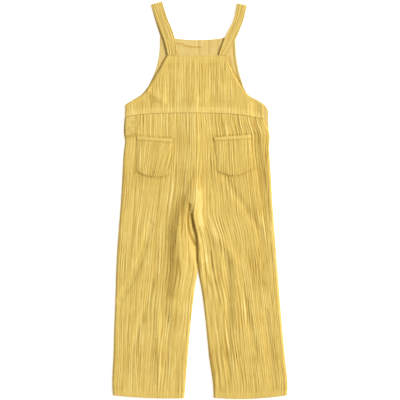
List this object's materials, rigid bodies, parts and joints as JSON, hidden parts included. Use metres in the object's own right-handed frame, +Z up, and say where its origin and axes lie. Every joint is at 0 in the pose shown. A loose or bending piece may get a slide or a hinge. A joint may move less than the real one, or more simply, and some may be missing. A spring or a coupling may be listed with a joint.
{
  "type": "kids dungarees",
  "caption": "Small child's wide-leg dungarees in crinkled cotton, laid flat face down, with folded-over straps, a low back bib and patch pockets.",
  "frame": {"origin": "centre of the garment's outline, on the surface that it lies on", "axes": "+Z up from the surface, +Y from the leg hems to the straps, +X across, towards the wearer's right side (the garment lies on its front)"},
  "size_m": [0.359, 0.8143, 0.0127],
  "materials": {
    "crinkled_cotton": "matte crinkled double cotton, mustard yellow",
    "inside_cotton": "matte cotton, the smoother and paler inside face",
    "flat_cotton": "matte cotton, pressed and stitched flat"
  },
  "bodies": {
    "root": {"front_bib": "inside_cotton", "front_leg_left": "inside_cotton", "front_leg_right": "inside_cotton", "back_bib": "crinkled_cotton", "back_leg_left": "crinkled_cotton", "back_leg_right": "crinkled_cotton", "pocket_left": "crinkled_cotton", "pocket_right": "crinkled_cotton", "placket_left": "flat_cotton", "strap_left": "flat_cotton", "strap_right": "flat_cotton"}
  },
  "joints": []
}
